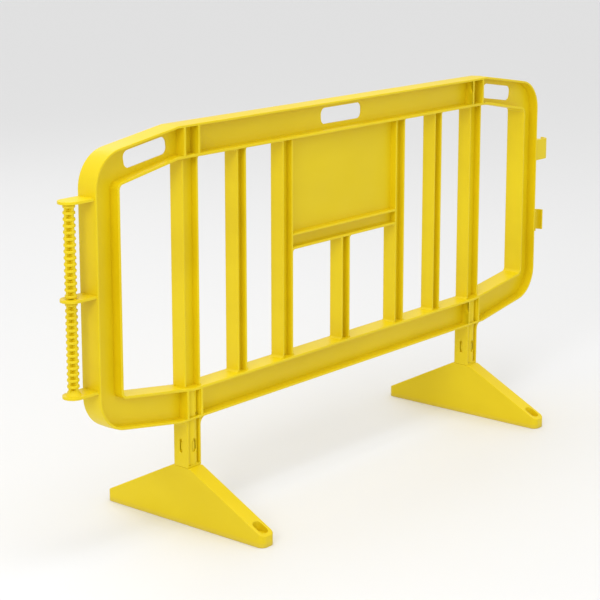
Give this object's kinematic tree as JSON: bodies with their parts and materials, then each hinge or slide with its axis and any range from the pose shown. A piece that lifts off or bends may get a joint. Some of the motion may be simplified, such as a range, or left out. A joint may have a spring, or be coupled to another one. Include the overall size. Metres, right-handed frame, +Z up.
{
  "type": "linking crowd barrier",
  "caption": "Moulded plastic lattice crowd barrier with swivelling feet, a sign field, handholds, and a ribbed rod and hooks that link one barrier to the next.",
  "frame": {"origin": "on the ground under the middle of the panel", "axes": "+X along the barrier towards the hooks, -Y to the front, +Z up"},
  "size_m": [2, 0.53, 1],
  "materials": {
    "panel_plastic": "satin moulded polypropylene, yellow",
    "foot_plastic": "satin moulded polypropylene, yellow"
  },
  "bodies": {
    "panel": {"top_rail": "panel_plastic", "bottom_rail": "panel_plastic", "left_top_arm": "panel_plastic", "left_stile": "panel_plastic", "left_bottom_arm": "panel_plastic", "left_post": "panel_plastic", "left_outer_bar": "panel_plastic", "left_inner_bar": "panel_plastic", "left_foot_socket": "panel_plastic", "right_top_arm": "panel_plastic", "right_stile": "panel_plastic", "right_bottom_arm": "panel_plastic", "right_post": "panel_plastic", "right_outer_bar": "panel_plastic", "right_inner_bar": "panel_plastic", "right_foot_socket": "panel_plastic", "centre_bar": "panel_plastic", "sign_plate": "panel_plastic", "sign_ledge": "panel_plastic", "coupling_rod": "panel_plastic", "top_rod_bracket": "panel_plastic", "middle_rod_bracket": "panel_plastic", "bottom_rod_bracket": "panel_plastic", "upper_hook": "panel_plastic", "lower_hook": "panel_plastic"},
    "left_foot": {"left_foot_shell": "foot_plastic", "left_foot_ribs": "foot_plastic", "left_foot_spigot": "foot_plastic", "left_foot_catches": "foot_plastic"},
    "right_foot": {"right_foot_shell": "foot_plastic", "right_foot_ribs": "foot_plastic", "right_foot_spigot": "foot_plastic", "right_foot_catches": "foot_plastic"}
  },
  "joints": [
    {"name": "left_foot_swivel", "type": "hinge", "parent": "panel", "child": "left_foot", "pos_m": [-0.6, 0, 0.22], "axis": [0, 0, 1], "range_deg": [-90, 90]},
    {"name": "right_foot_swivel", "type": "hinge", "parent": "panel", "child": "right_foot", "pos_m": [0.6, 0, 0.22], "axis": [0, 0, 1], "range_deg": [-90, 90]}
  ]
}
